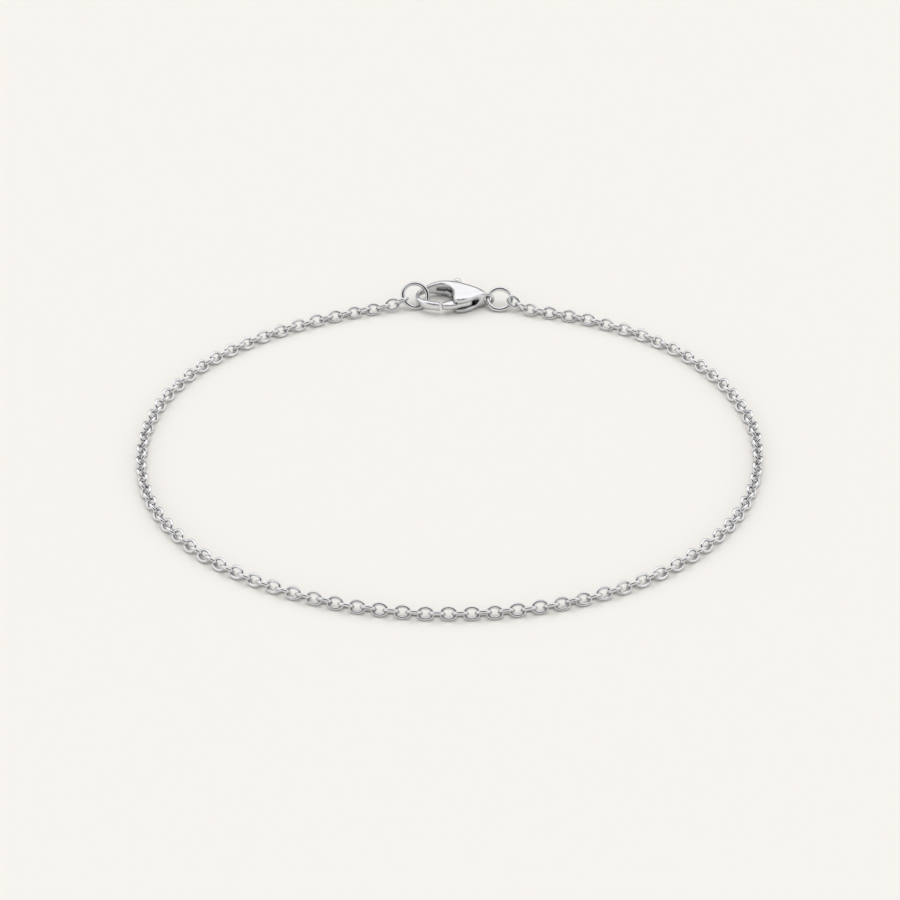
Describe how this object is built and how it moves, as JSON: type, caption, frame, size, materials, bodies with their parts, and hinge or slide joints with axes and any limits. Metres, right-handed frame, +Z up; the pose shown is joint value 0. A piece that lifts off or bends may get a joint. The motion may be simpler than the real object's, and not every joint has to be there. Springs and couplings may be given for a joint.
{
  "type": "chain anklet",
  "caption": "Fine cable-chain anklet closed by a lobster clasp with a sprung lever and two jump rings, lying flat in a whole loop.",
  "frame": {"origin": "middle of the whole outline, on the surface that the anklet lies on", "axes": "+Z up from the surface, +Y from the middle of the loop towards the clasp, +X towards the clasp's eye end"},
  "size_m": [0.0804, 0.0798, 0.003],
  "materials": {
    "chain": "polished silver",
    "rings": "polished silver",
    "clasp": "polished silver",
    "lever": "polished silver",
    "pin": "plain"
  },
  "bodies": {
    "root": {"chain": "chain", "jump_ring_left": "rings", "jump_ring_right": "rings", "clasp_body": "clasp", "clasp_pin": "pin"},
    "lever": {"clasp_lever": "lever"}
  },
  "joints": [
    {"name": "lever_hinge", "type": "hinge", "parent": "root", "child": "lever", "pos_m": [0.0024, 0.0346, 0.00115], "axis": [0, 0, -1], "range_deg": [0, 25], "stiffness_Nm_per_rad": 0.0005, "springref_deg": -11.46}
  ]
}
